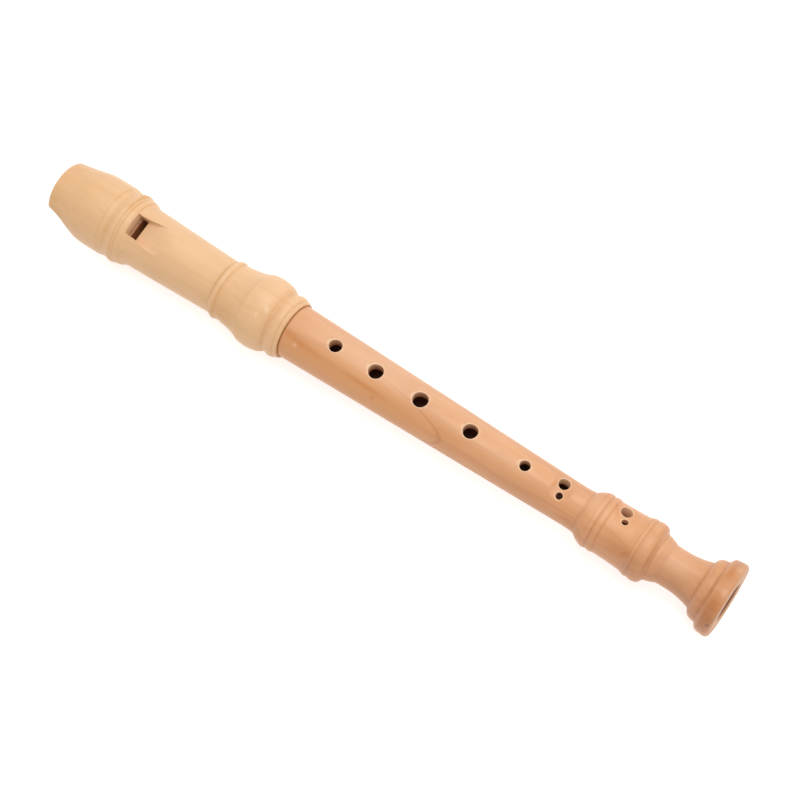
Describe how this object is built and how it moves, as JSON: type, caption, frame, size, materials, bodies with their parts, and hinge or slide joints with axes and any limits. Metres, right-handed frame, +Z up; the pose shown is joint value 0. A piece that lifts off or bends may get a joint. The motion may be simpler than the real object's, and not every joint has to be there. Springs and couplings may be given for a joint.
{
  "type": "soprano recorder",
  "caption": "Wooden fipple flute with a turned head joint, windway block and window, corked tenon, and a body with finger holes and a flared foot.",
  "frame": {"origin": "middle of the length and width, on the surface that the recorder lies on", "axes": "+X from the mouthpiece to the foot, +Z up through the finger holes"},
  "size_m": [0.33, 0.0324, 0.0324],
  "materials": {
    "head_wood": "satin",
    "block_wood": "matt",
    "body_wood": "satin",
    "cork": "matt"
  },
  "bodies": {
    "body": {"body_joint": "body_wood"},
    "cork_ring": {"tenon_cork": "cork"},
    "head": {"head_joint": "head_wood"},
    "block": {"windway_block": "block_wood"}
  },
  "joints": [
    {"name": "head_twist", "type": "hinge", "parent": "body", "child": "cork_ring", "pos_m": [-0.0539, 0, 0.01622], "axis": [1, 0, 0], "continuous": true},
    {"name": "head_pull", "type": "slide", "parent": "cork_ring", "child": "head", "axis": [-1, 0, 0], "range_m": [0, 0.025]},
    {"name": "block_push", "type": "slide", "parent": "head", "child": "block", "axis": [-1, 0, 0], "range_m": [0, 0.045]}
  ]
}
